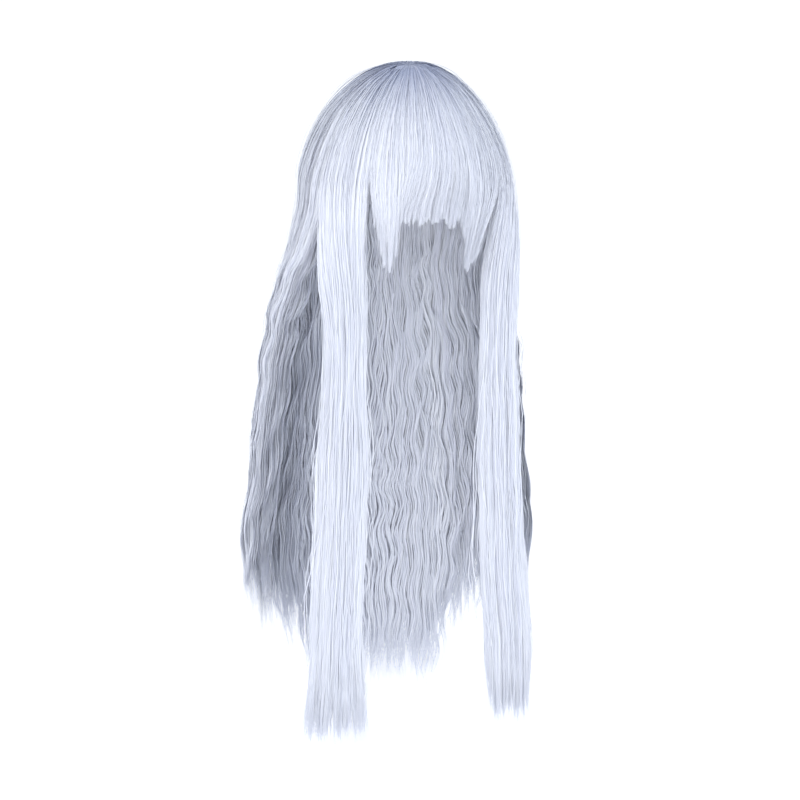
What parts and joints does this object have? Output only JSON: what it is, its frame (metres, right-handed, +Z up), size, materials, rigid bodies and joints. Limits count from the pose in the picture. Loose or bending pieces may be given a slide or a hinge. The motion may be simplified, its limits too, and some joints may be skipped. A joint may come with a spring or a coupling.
{
  "type": "costume wig",
  "caption": "Long pale silver-blue costume wig with a full fringe, straight front locks, loosely waved back hair and an adjustable wefted cap.",
  "frame": {"origin": "where the crown of the wearer's head bears on the inside of the cap, on the head's centre plane", "axes": "+Z up, -Y the way the face looks, +X the wearer's left"},
  "size_m": [0.3296, 0.251, 0.7167],
  "materials": {
    "hair": "fine synthetic fibre, soft sheen",
    "stitching": "machine-stitched weft track",
    "elastic": "woven elastic",
    "lace": "fine lace tape",
    "net": "open net",
    "skin_patch": "matt coated cloth",
    "plastic": "moulded, semi-matt"
  },
  "bodies": {
    "cap": {"front_band": "lace", "side_band_left": "elastic", "side_band_right": "elastic", "nape_band": "elastic", "crown_net": "net", "crown_patch": "skin_patch", "back_ribbon_1": "elastic", "back_ribbon_2": "elastic", "back_ribbon_3": "elastic", "back_ribbon_4": "elastic", "back_ribbon_5": "elastic", "fringe_track": "stitching", "side_track_left": "stitching", "side_track_right": "stitching", "crown_track_1": "stitching", "crown_track_2": "stitching", "back_track_1": "stitching", "back_track_2": "stitching", "back_track_3": "stitching", "back_track_4": "stitching", "back_track_5": "stitching", "back_track_6": "stitching", "strap_keeper_left": "elastic", "strap_keeper_right": "elastic", "loop_tape_left": "elastic", "loop_tape_right": "elastic", "crown_hair_left": "hair", "crown_hair_right": "hair"},
    "ear_tab_left": {"ear_tab_left": "lace", "ear_stay_left": "plastic"},
    "ear_tab_right": {"ear_tab_right": "lace", "ear_stay_right": "plastic"},
    "strap_left": {"strap_left": "elastic", "strap_hook_left": "plastic"},
    "strap_right": {"strap_right": "elastic", "strap_hook_right": "plastic"},
    "fringe": {"fringe": "hair", "cheek_wisp_left": "hair", "cheek_wisp_right": "hair"},
    "front_lock_left": {"front_lock_left": "hair"},
    "front_lock_right": {"front_lock_right": "hair"},
    "back_hair": {"back_hair_outer": "hair", "back_hair_middle": "hair", "back_hair_inner": "hair", "back_hair_left": "hair", "back_hair_right": "hair"}
  },
  "joints": [
    {"name": "ear_tab_left_flex", "type": "hinge", "parent": "cap", "child": "ear_tab_left", "pos_m": [0.07532, -0.02017, -0.09699], "axis": [-0.1664, -0.9861, 0], "range_deg": [-15, 8]},
    {"name": "ear_tab_right_flex", "type": "hinge", "parent": "cap", "child": "ear_tab_right", "pos_m": [-0.07532, -0.02017, -0.09699], "axis": [-0.1664, 0.9861, 0], "range_deg": [-15, 8]},
    {"name": "strap_left_adjust", "type": "hinge", "parent": "cap", "child": "strap_left", "pos_m": [0, 0.02858, -0.141], "axis": [0, 0, 1], "range_deg": [0, 13]},
    {"name": "strap_right_adjust", "type": "hinge", "parent": "cap", "child": "strap_right", "pos_m": [0, 0.02858, -0.141], "axis": [0, 0, -1], "range_deg": [0, 13]},
    {"name": "fringe_lift", "type": "hinge", "parent": "cap", "child": "fringe", "pos_m": [0, -0.092, -0.055], "axis": [-1, 0, 0], "range_deg": [0, 28]},
    {"name": "front_lock_left_swing", "type": "hinge", "parent": "cap", "child": "front_lock_left", "pos_m": [0.0922, -0.055, -0.1], "axis": [-1, 0, 0], "range_deg": [0, 45]},
    {"name": "front_lock_right_swing", "type": "hinge", "parent": "cap", "child": "front_lock_right", "pos_m": [-0.0922, -0.055, -0.1], "axis": [-1, 0, 0], "range_deg": [0, 45]},
    {"name": "back_hair_swing", "type": "hinge", "parent": "cap", "child": "back_hair", "pos_m": [0, 0.081, -0.15], "axis": [1, 0, 0], "range_deg": [0, 32]}
  ]
}
